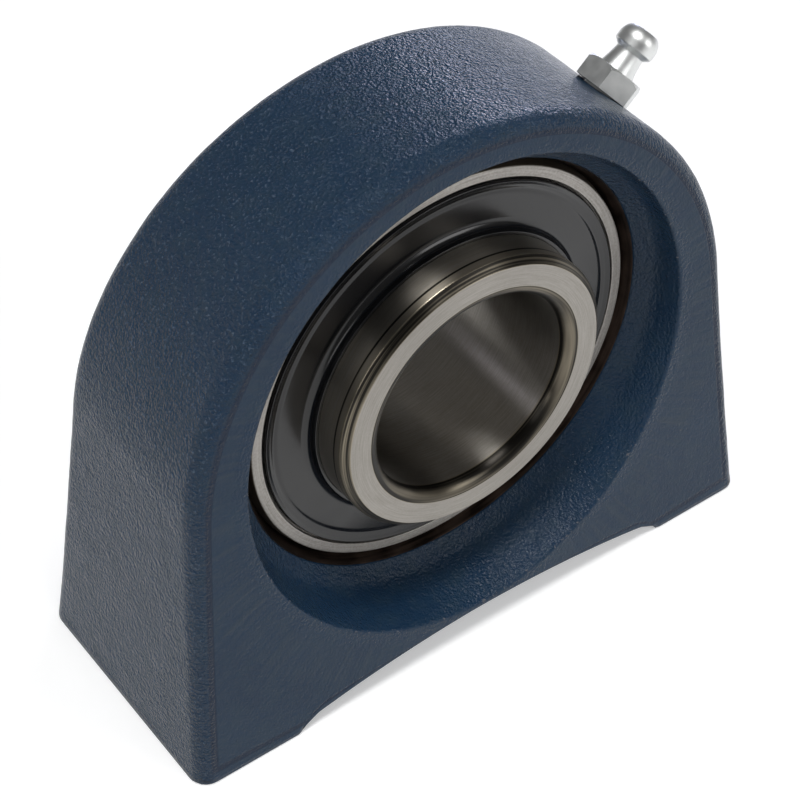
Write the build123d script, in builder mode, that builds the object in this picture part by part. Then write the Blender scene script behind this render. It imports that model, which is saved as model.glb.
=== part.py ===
from build123d import *
from math import acos, atan2, cos, degrees, hypot, radians, sin, sqrt, tan
import os

os.makedirs("parts", exist_ok=True)

# Self-aligning pillow block bearing with a short base, tapped from below.
# +Z is up and the feet stand on Z = 0. The shaft runs along Y, and the front faces -Y.
# The centre of the insert bearing lies on the Z axis, at the centre height.

# ---------------------------------------------------------------- housing sizes
centre_height = 47.6            # feet to shaft axis
base_length = 110.0
base_width = 45.0
shaft_level_width = 35.0        # between the two faces, at the height of the shaft axis
crown_width = 29.0              # between the two faces, at the top of the dome
dome_radius = 50.0
crown_wall = 9.4                # over the spherical seat, at the top of the dome
rim_round = 3.0                 # cast edges between the outside and the two faces
lip_round = 0.6                 # edge between a face and its recess

bolt_spacing = 82.6
tap_drill_diameter = 8.5        # M10
tap_depth = 20.0
drill_point_angle = 118.0

foot_land = 0.65                # flat left between a tapped hole and its foot's inner edge
foot_step = 0.9                 # height of a foot's machined inner edge
foot_step_run = 0.3
relief_edge_height = 2.2        # relief between the feet, beside a foot and at midspan
relief_edge_run = 3.4
relief_crown_height = 5.0
relief_lip_web = 0.6            # least metal between the relief and a recess

seat_half_width = 7.5           # spherical seat, from the centre plane to each edge
mouth_step = 0.38               # machined mouth beyond the seat, radial
mouth_half_width = 10.3
recess_floor_step = 2.8         # cast recess beyond the mouth, radial
recess_floor_half_width = 13.0
recess_wall_half_width = 18.0
recess_flare = 1.6              # radial growth of its rim, where it runs out of the face

# ---------------------------------------------------------------- insert bearing sizes
bore_diameter = 35.0
bore_round = 1.9                # lead-in at each end of the bore
inner_ring_wall = 3.674         # bore to the bottom of the raceway
outer_ring_wall = 3.674         # bottom of the raceway to the spherical outside
outer_ring_width = 19.0
outer_ring_face_wall = 1.8      # outer ring, at each face
ring_edge_break = 0.3
outer_shoulder_height = 2.1     # above the bottom of the raceway
seal_groove_step = 1.8          # from the raceway's shoulder out to the seal groove
seal_retainer_step = 0.4        # height of the edge that holds a seal in its groove
seal_retainer_width = 0.5
inner_front_length = 17.5       # insert centre to the front end of the inner ring
inner_rear_length = 25.4        # insert centre to the end with the grub screws
inner_shoulder_height = 3.0     # above the bottom of the raceway
inner_end_chamfer = 1.15

ball_count = 9
ball_diameter = 11.112
groove_conformity = 0.52        # raceway groove radius over ball diameter

# ---------------------------------------------------------------- cage sizes
cage_gap = 0.8                  # to each ring, radial
cage_end_gap = 0.5              # to the seal behind the closed side
cage_back_thickness = 3.2
cage_edge_chamfer = 0.5
claw_thickness = 1.2
claw_reach = 2.6                # past the ball centres, towards the open side

# ---------------------------------------------------------------- seal and flinger sizes
seal_depth = 1.4                # face of the outer ring to the seal
seal_thickness = 1.2
washer_thickness = 0.5
washer_edge_cover = 0.4         # rubber round the washer's outer edge
washer_lip_cover = 0.6          # rubber round the washer's inner edge
seal_lip_length = 1.0
seal_lip_thickness = 0.4

flinger_thickness = 0.6
flinger_disc_depth = 0.1        # face of the outer ring to the front of the disc
flinger_collar_height = 1.8     # above the disc
flinger_bend_radius = 1.4
flinger_rim_gap = 0.6           # to the outer ring, radial
flinger_rim_width = 0.85
flinger_rim_rise = 0.4
flinger_bead_width = 1.3
flinger_bead_depth = 0.25

# ---------------------------------------------------------------- grub screw sizes
screw_diameter = 6.0
screw_end_distance = 5.6        # screw axis to the rear end of the inner ring
screw_length = 6.0
screw_back_off = 0.35           # point of a loose screw to the surface of the bore
screw_angles = [30.0, 150.0]    # above the horizontal, seen from the front
screw_end_chamfer = 0.5
screw_cup_diameter = 3.0
screw_cup_depth = 0.7
hex_key_size = 3.0
hex_key_depth = 3.0

# ---------------------------------------------------------------- grease path sizes
grease_offset = -1.5            # nipple and seat groove, from the centre plane
seat_groove_width = 4.0
seat_groove_depth = 1.2
grease_hole_diameter = 3.0
ring_grease_groove_width = 4.6
ring_grease_groove_depth = 0.5
ring_grease_hole_diameter = 1.2
ring_grease_hole_offset = -5.3
ring_grease_hole_angles = [30.0, 150.0]

nipple_angle = 42.0             # nipple axis above the horizontal
nipple_standoff = 0.5           # dome surface to the underside of the hexagon
nipple_thread_diameter = 6.0
nipple_thread_length = 6.0
nipple_hex_size = 8.8
nipple_hex_height = 3.2
nipple_hex_bevel = 0.35         # height of the turned bevel on the hexagon's top corners
nipple_neck_base_diameter = 5.8
nipple_neck_diameter = 4.6
nipple_neck_length = 3.2
nipple_head_diameter = 6.5
nipple_head_undercut = 0.8      # length of the slope from the neck out to the head
nipple_head_length = 1.0
nipple_nose_length = 2.2
nipple_tip_diameter = 4.3
nipple_mouth_diameter = 1.5
nipple_mouth_depth = 0.4
nipple_passage_diameter = 1.5
check_ball_diameter = 2.0
check_ball_clearance = 0.15
spring_wire_diameter = 0.3
spring_coil_diameter = 1.6      # middle of the wire
spring_coils = 4
spring_length = 3.5

# ---------------------------------------------------------------- fits
seat_clearance = 0.03           # insert in its spherical seat, radial
rolling_clearance = 0.02        # ball to each raceway
pocket_clearance = 0.15         # ball to its cage pocket
running_clearance = 0.05        # seal lips, screws and the check ball's seat
loading_clearance = 0.2         # loading slots round the outer ring

# ---------------------------------------------------------------- shared geometry
bearing_centre = Vector(0, 0, centre_height)
bearing_axis = Axis(bearing_centre, (0, 1, 0))
section_plane = Plane.XY.offset(centre_height)      # local X is the radius, local Y runs along the shaft
cross_plane = Plane(bearing_centre, x_dir=(1, 0, 0), z_dir=(0, 1, 0))
sides = {"front": -1, "rear": 1}

bore_radius = bore_diameter / 2
ball_radius = ball_diameter / 2
groove_radius = ball_diameter * groove_conformity
inner_groove_bottom = bore_radius + inner_ring_wall
pitch_radius = inner_groove_bottom + rolling_clearance + ball_radius
outer_groove_bottom = pitch_radius + ball_radius + rolling_clearance
insert_radius = outer_groove_bottom + outer_ring_wall
inner_shoulder_radius = inner_groove_bottom + inner_shoulder_height

seat_radius = insert_radius + seat_clearance
overall_height = centre_height + seat_radius + crown_wall
dome_centre_height = overall_height - dome_radius
bolt_positions = [(-bolt_spacing / 2, 0), (bolt_spacing / 2, 0)]

ring_half_width = outer_ring_width / 2
ring_face_radius = sqrt(insert_radius ** 2 - ring_half_width ** 2)
ring_face_bore = ring_face_radius - outer_ring_face_wall
outer_shoulder_radius = outer_groove_bottom - outer_shoulder_height
seal_groove_radius = outer_shoulder_radius + seal_groove_step
seal_outer_face = ring_half_width - seal_depth
seal_inner_face = seal_outer_face - seal_thickness

ball_angles = [90 + 360 / ball_count * index for index in range(ball_count)]


def radial(angle):
    """Unit vector away from the shaft axis, at an angle above +X."""
    return Vector(cos(radians(angle)), 0, sin(radians(angle)))


def radial_plane(angle, along_shaft=0.0):
    """Plane through the shaft axis whose normal points outwards at the angle."""
    return Plane(bearing_centre + Vector(0, along_shaft, 0), x_dir=(0, 1, 0), z_dir=radial(angle))


ball_centres = [bearing_centre + radial(angle) * pitch_radius for angle in ball_angles]

# The nipple stands square to the shaft axis. Its height is counted from the hexagon's underside.
dome_drop = centre_height - dome_centre_height
nipple_base_radius = (
    sqrt(dome_radius ** 2 - (dome_drop * cos(radians(nipple_angle))) ** 2)
    - dome_drop * sin(radians(nipple_angle))
    + nipple_standoff
)
nipple_plane = radial_plane(nipple_angle, grease_offset).offset(nipple_base_radius)
nipple_section = Plane(nipple_plane.origin, x_dir=(0, 1, 0), z_dir=Vector(0, 1, 0).cross(radial(nipple_angle)))
nipple_axis = Axis(nipple_plane.origin, radial(nipple_angle))
nipple_hole_depth = nipple_standoff + nipple_thread_length

# ---------------------------------------------------------------- housing
side_touch_angle = atan2(-dome_centre_height, base_length / 2) + acos(
    dome_radius / hypot(base_length / 2, dome_centre_height)
)
side_touch_x = dome_radius * cos(side_touch_angle)
side_touch_z = dome_centre_height + dome_radius * sin(side_touch_angle)
foot_inner_x = bolt_spacing / 2 - tap_drill_diameter / 2 - foot_land
relief_edge_x = foot_inner_x - relief_edge_run

mouth_radius = seat_radius + mouth_step
recess_rim_radius = centre_height - relief_crown_height - relief_lip_web
recess_wall_radius = recess_rim_radius - recess_flare
seat_edge_radius = sqrt(seat_radius ** 2 - seat_half_width ** 2)
seat_middle_radius = sqrt(seat_radius ** 2 - (seat_half_width / 2) ** 2)

with BuildPart() as housing:
    # Dome with straight sides that run down to the ends of the base.
    with BuildSketch(Plane.XZ):
        with BuildLine():
            Line((-base_length / 2, 0), (base_length / 2, 0))
            Line((base_length / 2, 0), (side_touch_x, side_touch_z))
            ThreePointArc((side_touch_x, side_touch_z), (0, overall_height), (-side_touch_x, side_touch_z))
            Line((-side_touch_x, side_touch_z), (-base_length / 2, 0))
        make_face()
    extrude(amount=base_width, both=True)
    # Both faces lean inwards from the base to the top, in one shallow curve.
    with BuildSketch(Plane.YZ):
        with BuildLine():
            Line((-base_width / 2, 0), (base_width / 2, 0))
            ThreePointArc(
                (base_width / 2, 0), (shaft_level_width / 2, centre_height), (crown_width / 2, overall_height)
            )
            Line((crown_width / 2, overall_height), (-crown_width / 2, overall_height))
            ThreePointArc(
                (-crown_width / 2, overall_height), (-shaft_level_width / 2, centre_height), (-base_width / 2, 0)
            )
        make_face()
    extrude(amount=base_length, both=True, mode=Mode.INTERSECT)
    faces_along_shaft = housing.faces().sort_by(Axis.Y)
    front_rim = faces_along_shaft[0].edges().sort_by(Axis.Z)[1:]
    rear_rim = faces_along_shaft[-1].edges().sort_by(Axis.Z)[1:]
    fillet(front_rim + rear_rim, radius=rim_round)

    # The feet are the only faces that touch the machine: the base is relieved between them.
    with BuildSketch(Plane.XZ):
        with BuildLine():
            Line((-foot_inner_x, 0), (foot_inner_x, 0))
            Polyline(
                (foot_inner_x, 0),
                (foot_inner_x - foot_step_run, foot_step),
                (relief_edge_x, relief_edge_height),
            )
            ThreePointArc(
                (relief_edge_x, relief_edge_height), (0, relief_crown_height), (-relief_edge_x, relief_edge_height)
            )
            Polyline(
                (-relief_edge_x, relief_edge_height),
                (-foot_inner_x + foot_step_run, foot_step),
                (-foot_inner_x, 0),
            )
        make_face()
    extrude(amount=base_width, both=True, mode=Mode.SUBTRACT)

    # Tapped holes from below, at their tapping size.
    with BuildSketch(Plane.XY):
        with Locations(*bolt_positions):
            Circle(tap_drill_diameter / 2)
    extrude(amount=tap_depth, mode=Mode.SUBTRACT)
    with BuildSketch(Plane.XY.offset(tap_depth)):
        with Locations(*bolt_positions):
            Circle(tap_drill_diameter / 2)
    extrude(
        amount=tap_drill_diameter / 2 / tan(radians(drill_point_angle / 2)),
        taper=drill_point_angle / 2,
        mode=Mode.SUBTRACT,
    )

    # Spherical seat, its machined mouth and the cast recess, alike at the front and the rear.
    with BuildSketch(section_plane):
        with BuildLine():
            Line((0, 0), (seat_radius, 0))
            ThreePointArc(
                (seat_radius, 0), (seat_middle_radius, seat_half_width / 2), (seat_edge_radius, seat_half_width)
            )
            Polyline(
                (seat_edge_radius, seat_half_width),
                (mouth_radius, mouth_half_width),
                (mouth_radius + recess_floor_step, recess_floor_half_width),
            )
            wall = Line(
                (mouth_radius + recess_floor_step, recess_floor_half_width),
                (recess_wall_radius, recess_wall_half_width),
            )
            TangentArc(wall @ 1, (recess_rim_radius, base_width / 2), tangent=wall % 1)
            Polyline((recess_rim_radius, base_width / 2), (recess_rim_radius, base_width), (0, base_width), (0, 0))
        make_face()
        mirror(about=Plane.XZ)
    revolve(axis=bearing_axis, mode=Mode.SUBTRACT)
    fillet(housing.edges(Select.LAST).filter_by(GeomType.BSPLINE), radius=lip_round)
    # The insert goes in from the rear, turned across the bore, through two slots at shaft height.
    with BuildSketch(cross_plane):
        Circle(seat_radius + loading_clearance)
        Rectangle(4 * insert_radius, outer_ring_width + 2 * loading_clearance, mode=Mode.INTERSECT)
    extrude(amount=mouth_half_width, mode=Mode.SUBTRACT)

    # Grease path: tapped hole for the nipple, passage, and groove round the seat.
    with BuildSketch(nipple_plane):
        Circle(nipple_thread_diameter / 2)
    extrude(amount=-nipple_hole_depth, mode=Mode.SUBTRACT)
    with BuildSketch(nipple_plane):
        Circle(grease_hole_diameter / 2)
    extrude(amount=seat_radius - nipple_base_radius, mode=Mode.SUBTRACT)
    with BuildSketch(section_plane):
        with Locations((seat_radius, grease_offset)):
            Rectangle(2 * seat_groove_depth, seat_groove_width)
    revolve(axis=bearing_axis, mode=Mode.SUBTRACT)

housing.part.label = "housing"
export_step(housing.part, "parts/housing.step")

# ---------------------------------------------------------------- grease nipple
check_ball_radius = check_ball_diameter / 2
hex_top = nipple_hex_height
hex_corner_radius = nipple_hex_size / 2 / cos(radians(30))
neck_top = hex_top + nipple_neck_length
head_low = neck_top + nipple_head_undercut
head_high = head_low + nipple_head_length
nipple_tip = head_high + nipple_nose_length
mouth_edge_height = nipple_tip - nipple_mouth_depth
check_ball_height = mouth_edge_height - running_clearance - sqrt(
    check_ball_radius ** 2 - (nipple_mouth_diameter / 2) ** 2
)
spring_top = check_ball_height - running_clearance - sqrt(
    (check_ball_radius + spring_wire_diameter / 2) ** 2 - (spring_coil_diameter / 2) ** 2
)
spring_seat = spring_top - spring_length - spring_wire_diameter / 2
check_bore_radius = check_ball_radius + check_ball_clearance

with BuildPart() as nipple_body:
    with BuildSketch(nipple_plane):
        RegularPolygon(nipple_hex_size / 2, side_count=6, major_radius=False)
    extrude(amount=nipple_hex_height)
    # Turned bevel on the hexagon's top corners.
    with BuildSketch(nipple_section):
        with BuildLine():
            Polyline(
                (0, 0),
                (hex_corner_radius, 0),
                (hex_corner_radius, hex_top - nipple_hex_bevel),
                (nipple_hex_size / 2, hex_top),
                (0, hex_top),
                close=True,
            )
        make_face()
    revolve(axis=nipple_axis, mode=Mode.INTERSECT)
    with BuildSketch(nipple_section):
        with BuildLine():
            Polyline(
                (0, -nipple_thread_length),
                (nipple_thread_diameter / 2, -nipple_thread_length),
                (nipple_thread_diameter / 2, 0),
                (nipple_neck_base_diameter / 2, hex_top),
                (nipple_neck_diameter / 2, neck_top),
                (nipple_head_diameter / 2, head_low),
                (nipple_head_diameter / 2, head_high),
            )
            TangentArc(
                (nipple_head_diameter / 2, head_high), (nipple_tip_diameter / 2, nipple_tip), tangent=(0, 1)
            )
            Polyline((nipple_tip_diameter / 2, nipple_tip), (0, nipple_tip), (0, -nipple_thread_length))
        make_face()
    revolve(axis=nipple_axis)
    # Stepped bore: mouth, room for the check ball and its spring, and a narrow passage.
    with BuildSketch(nipple_plane.offset(nipple_tip)):
        Circle(nipple_mouth_diameter / 2)
    extrude(amount=-nipple_mouth_depth, mode=Mode.SUBTRACT)
    with BuildSketch(nipple_plane.offset(mouth_edge_height)):
        Circle(check_bore_radius)
    extrude(amount=spring_seat - mouth_edge_height, mode=Mode.SUBTRACT)
    with BuildSketch(nipple_plane.offset(spring_seat)):
        Circle(nipple_passage_diameter / 2)
    extrude(amount=-nipple_thread_length - spring_seat, mode=Mode.SUBTRACT)

nipple_body.part.label = "nipple_body"
export_step(nipple_body.part, "parts/nipple_body.step")

with BuildPart() as nipple_ball:
    with Locations(nipple_plane.offset(check_ball_height)):
        Sphere(check_ball_radius)

nipple_ball.part.label = "nipple_ball"
export_step(nipple_ball.part, "parts/nipple_ball.step")

with BuildPart() as nipple_spring:
    with BuildLine() as coil:
        Helix(
            pitch=spring_length / spring_coils,
            height=spring_length,
            radius=spring_coil_diameter / 2,
            center=nipple_plane.offset(spring_top - spring_length).origin,
            direction=radial(nipple_angle),
        )
    with BuildSketch(Plane(origin=coil.line @ 0, z_dir=coil.line % 0)):
        Circle(spring_wire_diameter / 2)
    sweep(path=coil.line)

nipple_spring.part.label = "nipple_spring"
export_step(nipple_spring.part, "parts/nipple_spring.step")

# ---------------------------------------------------------------- outer ring
outer_groove_centre = outer_groove_bottom - groove_radius
ring_groove_offset = ring_grease_hole_offset + (ring_grease_groove_width - ring_grease_hole_diameter) / 2
ring_middle_radius = sqrt(insert_radius ** 2 - (ring_half_width / 2) ** 2)

with BuildPart() as outer_ring:
    with BuildSketch(section_plane):
        with BuildLine():
            Polyline(
                (outer_shoulder_radius, 0),
                (outer_shoulder_radius, seal_inner_face),
                (seal_groove_radius, seal_inner_face),
                (seal_groove_radius, seal_outer_face),
                (seal_groove_radius - seal_retainer_step, seal_outer_face),
                (ring_face_bore, seal_outer_face + seal_retainer_width),
                (ring_face_bore, ring_half_width),
                (ring_face_radius, ring_half_width),
            )
            ThreePointArc(
                (ring_face_radius, ring_half_width),
                (ring_middle_radius, ring_half_width / 2),
                (insert_radius, 0),
            )
            Line((insert_radius, 0), (outer_shoulder_radius, 0))
        make_face()
        mirror(about=Plane.XZ)
        with Locations((outer_groove_centre, 0)):
            Circle(groove_radius, mode=Mode.SUBTRACT)
        with Locations((insert_radius, ring_groove_offset)):
            Rectangle(2 * ring_grease_groove_depth, ring_grease_groove_width, mode=Mode.SUBTRACT)
    revolve(axis=bearing_axis)
    front_rim = outer_ring.faces().sort_by(Axis.Y)[0].edges().sort_by(SortBy.RADIUS)[-1:]
    rear_rim = outer_ring.faces().sort_by(Axis.Y)[-1].edges().sort_by(SortBy.RADIUS)[-1:]
    chamfer(front_rim + rear_rim, length=ring_edge_break)
    with BuildSketch(*[radial_plane(angle, ring_grease_hole_offset) for angle in ring_grease_hole_angles]):
        Circle(ring_grease_hole_diameter / 2)
    extrude(amount=insert_radius, mode=Mode.SUBTRACT)

outer_ring.part.label = "outer_ring"
export_step(outer_ring.part, "parts/outer_ring.step")

# ---------------------------------------------------------------- inner ring
inner_groove_centre = inner_groove_bottom + groove_radius
screw_along_shaft = inner_rear_length - screw_end_distance
screw_planes = [radial_plane(angle, screw_along_shaft) for angle in screw_angles]

with BuildPart() as inner_ring:
    with BuildSketch(section_plane) as ring_section:
        with BuildLine():
            Polyline(
                (bore_radius, -inner_front_length),
                (inner_shoulder_radius, -inner_front_length),
                (inner_shoulder_radius, inner_rear_length),
                (bore_radius, inner_rear_length),
                close=True,
            )
        make_face()
        fillet(ring_section.vertices().sort_by(Axis.X)[:2], radius=bore_round)
        chamfer(ring_section.vertices().sort_by(Axis.X)[-2:], length=inner_end_chamfer)
        with Locations((inner_groove_centre, 0)):
            Circle(groove_radius, mode=Mode.SUBTRACT)
    revolve(axis=bearing_axis)
    with BuildSketch(*screw_planes):
        Circle(screw_diameter / 2 + running_clearance)
    extrude(amount=inner_shoulder_radius, mode=Mode.SUBTRACT)

inner_ring.part.label = "inner_ring"
export_step(inner_ring.part, "parts/inner_ring.step")

# ---------------------------------------------------------------- grub screws
screw_point_radius = bore_radius + screw_back_off

for number, screw_plane in enumerate(screw_planes, start=1):
    with BuildPart() as grub_screw:
        with BuildSketch(screw_plane.offset(screw_point_radius)):
            Circle(screw_diameter / 2)
        extrude(amount=screw_length)
        chamfer(grub_screw.edges().filter_by(GeomType.CIRCLE), length=screw_end_chamfer)
        with BuildSketch(screw_plane.offset(screw_point_radius)):
            Circle(screw_cup_diameter / 2)
        extrude(amount=screw_cup_depth, taper=45, mode=Mode.SUBTRACT)
        with BuildSketch(screw_plane.offset(screw_point_radius + screw_length)):
            RegularPolygon(hex_key_size / 2, side_count=6, major_radius=False)
        extrude(amount=-hex_key_depth, mode=Mode.SUBTRACT)

    grub_screw.part.label = f"grub_screw_{number}"
    export_step(grub_screw.part, f"parts/grub_screw_{number}.step")

# ---------------------------------------------------------------- balls
for number, ball_centre in enumerate(ball_centres, start=1):
    with BuildPart() as ball:
        with Locations(ball_centre):
            Sphere(ball_radius)

    ball.part.label = f"ball_{number}"
    export_step(ball.part, f"parts/ball_{number}.step")

# ---------------------------------------------------------------- cage
# A moulded snap cage. Each ball sits in a spherical pocket between two claws that hold it past its
# middle, and the claws stand free of each other, so that they can spring open as the ball is pushed in.
cage_inner_radius = inner_shoulder_radius + cage_gap
cage_outer_radius = outer_shoulder_radius - cage_gap
cage_back = seal_inner_face - cage_end_gap
pocket_radius = ball_radius + pocket_clearance
claw_radius = pocket_radius + claw_thickness

with BuildPart() as cage:
    # Round post on the radial line of each ball, cut later into a pair of claws.
    with BuildSketch(*[radial_plane(angle).offset(cage_inner_radius - cage_gap) for angle in ball_angles]):
        Circle(claw_radius)
    extrude(amount=cage_outer_radius - cage_inner_radius + 2 * cage_gap)
    # Closed back that joins all the posts.
    with BuildSketch(section_plane):
        with Locations((cage_inner_radius, cage_back)):
            Rectangle(
                cage_outer_radius - cage_inner_radius, cage_back_thickness, align=(Align.MIN, Align.MAX)
            )
    revolve(axis=bearing_axis)
    # One turned shape gives the posts their inner and outer faces, and opens the front of each pocket.
    with BuildSketch(section_plane) as cage_section:
        with BuildLine():
            Polyline(
                (cage_inner_radius, -claw_reach),
                (cage_outer_radius, -claw_reach),
                (cage_outer_radius, cage_back),
                (cage_inner_radius, cage_back),
                close=True,
            )
        make_face()
        chamfer(cage_section.vertices(), length=cage_edge_chamfer)
    revolve(axis=bearing_axis, mode=Mode.INTERSECT)
    with Locations(*ball_centres):
        Sphere(pocket_radius, mode=Mode.SUBTRACT)

cage.part.label = "cage"
export_step(cage.part, "parts/cage.step")

# ---------------------------------------------------------------- seals and flingers
lip_radius = inner_shoulder_radius + running_clearance
lip_root_radius = lip_radius + seal_lip_length
washer_inner_radius = lip_root_radius + washer_lip_cover
washer_outer_radius = seal_groove_radius - washer_edge_cover

collar_radius = inner_shoulder_radius + flinger_thickness
disc_face = ring_half_width - flinger_disc_depth
collar_end = disc_face + flinger_collar_height
bend_end_radius = collar_radius + flinger_bend_radius
rim_radius = ring_face_bore - flinger_rim_gap
bead_outer_radius = rim_radius - flinger_rim_width
bead_inner_radius = bead_outer_radius - flinger_bead_width

for side, sign in sides.items():
    with BuildPart() as seal_washer:
        with BuildSketch(section_plane):
            with BuildLine():
                Polyline(
                    (washer_inner_radius, sign * seal_inner_face),
                    (washer_outer_radius, sign * seal_inner_face),
                    (washer_outer_radius, sign * (seal_inner_face + washer_thickness)),
                    (washer_inner_radius, sign * (seal_inner_face + washer_thickness)),
                    close=True,
                )
            make_face()
        revolve(axis=bearing_axis)

    seal_washer.part.label = f"{side}_seal_washer"
    export_step(seal_washer.part, f"parts/{side}_seal_washer.step")

    # Rubber moulded round the washer, with a thin lip that wipes the inner ring.
    with BuildPart() as seal_lip:
        with BuildSketch(section_plane):
            with BuildLine():
                Polyline(
                    (seal_groove_radius, sign * seal_inner_face),
                    (washer_outer_radius, sign * seal_inner_face),
                    (washer_outer_radius, sign * (seal_inner_face + washer_thickness)),
                    (washer_inner_radius, sign * (seal_inner_face + washer_thickness)),
                    (washer_inner_radius, sign * seal_inner_face),
                    (lip_root_radius, sign * seal_inner_face),
                    (lip_root_radius, sign * (seal_inner_face + washer_thickness)),
                    (lip_radius, sign * (seal_outer_face - seal_lip_thickness)),
                    (lip_radius, sign * seal_outer_face),
                    (seal_groove_radius, sign * seal_outer_face),
                    close=True,
                )
            make_face()
        revolve(axis=bearing_axis)

    seal_lip.part.label = f"{side}_seal_lip"
    export_step(seal_lip.part, f"parts/{side}_seal_lip.step")

    # Pressed sheet: collar on the inner ring, flat disc, shallow bead and raised rim.
    with BuildPart() as flinger:
        with BuildSketch(section_plane):
            with BuildLine():
                Line(
                    (collar_radius, sign * collar_end),
                    (collar_radius, sign * (disc_face + flinger_bend_radius)),
                )
                RadiusArc(
                    (collar_radius, sign * (disc_face + flinger_bend_radius)),
                    (bend_end_radius, sign * disc_face),
                    -sign * flinger_bend_radius,
                )
                Line((bend_end_radius, sign * disc_face), (bead_inner_radius, sign * disc_face))
                SagittaArc(
                    (bead_inner_radius, sign * disc_face),
                    (bead_outer_radius, sign * disc_face),
                    -sign * flinger_bead_depth,
                )
                Line(
                    (bead_outer_radius, sign * disc_face),
                    (rim_radius, sign * (disc_face + flinger_rim_rise)),
                )
                offset(amount=flinger_thickness, side=Side.RIGHT if sign > 0 else Side.LEFT, closed=True)
            make_face()
        revolve(axis=bearing_axis)

    flinger.part.label = f"{side}_flinger"
    export_step(flinger.part, f"parts/{side}_flinger.step")
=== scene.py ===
# %% [markdown]
# # A self-aligning pillow block bearing
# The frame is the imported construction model: one fixed place for every piece, in metres, with
# +Z up, the feet on Z = 0 and the shaft along Y. Everything below is built in that frame, so
# no piece is ever moved to fit another.

# %% Load the frame
from math import acos, asin, atan2, cos, degrees, hypot, pi, radians, sin, sqrt, tan

import bmesh
import bpy
from mathutils import Matrix, Vector


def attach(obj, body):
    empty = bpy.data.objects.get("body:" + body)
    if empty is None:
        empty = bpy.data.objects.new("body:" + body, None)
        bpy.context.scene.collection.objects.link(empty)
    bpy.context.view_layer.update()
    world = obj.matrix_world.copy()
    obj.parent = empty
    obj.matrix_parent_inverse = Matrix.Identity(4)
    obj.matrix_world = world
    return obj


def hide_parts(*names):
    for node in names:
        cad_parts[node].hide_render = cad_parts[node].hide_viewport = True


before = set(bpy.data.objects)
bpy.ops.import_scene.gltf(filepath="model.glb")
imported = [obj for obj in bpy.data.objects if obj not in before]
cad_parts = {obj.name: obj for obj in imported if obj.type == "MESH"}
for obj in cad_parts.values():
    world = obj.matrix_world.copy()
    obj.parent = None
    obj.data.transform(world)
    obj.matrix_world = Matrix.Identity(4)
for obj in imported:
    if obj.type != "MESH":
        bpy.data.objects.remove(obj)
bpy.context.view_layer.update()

MM = 0.001
scene = bpy.context.scene


def put(name, data):
    """A new object in the scene."""
    item = bpy.data.objects.new(name, data)
    scene.collection.objects.link(item)
    return item


# %% [markdown]
# ## The camera
# The camera stands in front of the block, to its left and above it. It could be placed by hand,
# but a stated azimuth, elevation and roll about the centre of the insert is easier to check, so
# the camera is turned by these three angles about that centre, then drawn back from it.

# %% Camera
SHAFT_HEIGHT = 47.6
azimuth, elevation, roll = radians(-36.697), radians(43.849), radians(0.344)
focal_pixels, frame_pixels = 2152.99, 800
sideways, upwards, distance = 1.019, 10.187, 328.92  # camera from the insert's centre, mm

lens = bpy.data.cameras.new("camera")
lens.sensor_width = 36
lens.lens = focal_pixels / frame_pixels * lens.sensor_width
lens.clip_start = 0.01
camera = put("camera", lens)
place = Matrix.Translation((0, 0, SHAFT_HEIGHT * MM))
for angle, axis in ((azimuth, "Z"), (pi / 2 - elevation, "X"), (roll, "Z")):
    place @= Matrix.Rotation(angle, 4, axis)
camera.matrix_world = place @ Matrix.Translation(Vector((-sideways, -upwards, distance)) * MM)
scene.camera = camera
print(f"lens {lens.lens:.1f} mm at {distance:.0f} mm")

# %% [markdown]
# ## Finding a way round the housing
# The casting is a thick plate with a domed top, drilled through by one great round hole, so in
# section it is the same ring all the way round: outer band, face, recess, machined mouth and
# spherical seat. A subdivision cage would need dozens of hand-placed loops. A grid that goes
# round the shaft and across that section follows the shape with even quads, and leaves enough
# points to roughen the cast skin.

# %% Sizes of the casting, in mm
BASE_HALF, TOP_HEIGHT, DOME_RADIUS = 55.0, 93.03, 50.0
DOME_HEIGHT = TOP_HEIGHT - DOME_RADIUS
FACE_AT = ((0.0, 22.5), (SHAFT_HEIGHT, 17.5), (TOP_HEIGHT, 14.5))  # height, half width
RIM_ROUND, LIP_ROUND, FOOT_ROUND = 3.0, 0.6, 0.3
FOOT_INNER, FOOT_STEP, RELIEF_EDGE, RELIEF_TOP = 36.4, (35.72, 0.9), (33.0, 2.2), 5.0
SEAT_RADIUS, SEAT_HALF, MOUTH_HALF, FLOOR_HALF, WALL_HALF = 36.03, 7.5, 10.3, 13.0, 18.0
MOUTH_RADIUS, FLOOR_RADIUS, WALL_RADIUS, RECESS_RADIUS = 36.41, 39.21, 40.4, 42.0
GREASE_GROOVE = (-3.5, 0.5, 1.2)  # from, to, depth


def circle_through(a, b, c):
    """Centre and radius of the circle through three points of a plane."""
    (ax, ay), (bx, by), (cx, cy) = a, b, c
    d = 2 * (ax * (by - cy) + bx * (cy - ay) + cx * (ay - by))
    a2, b2, c2 = ax * ax + ay * ay, bx * bx + by * by, cx * cx + cy * cy
    ux = (a2 * (by - cy) + b2 * (cy - ay) + c2 * (ay - by)) / d
    uy = (a2 * (cx - bx) + b2 * (ax - cx) + c2 * (bx - ax)) / d
    return ux, uy, hypot(ax - ux, ay - uy)


face_z, face_y, face_r = circle_through(*FACE_AT)


def half_width(z):
    """Half width of the casting at a height: both faces lean in on one shallow curve."""
    return face_y - sqrt(face_r ** 2 - (z - face_z) ** 2)


print("half width at foot, shaft and top:", [round(half_width(z), 2) for z, _ in FACE_AT])

# %% [markdown]
# ## The outline that the grid goes round
# Seen from the front the block is a dome whose straight sides lean out to the ends of the base,
# and the base touches the machine only at its two feet. The outline is sampled every 0.72 mm,
# and its corners are kept as exact points. One half is enough: the other is its mirror image.

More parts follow.
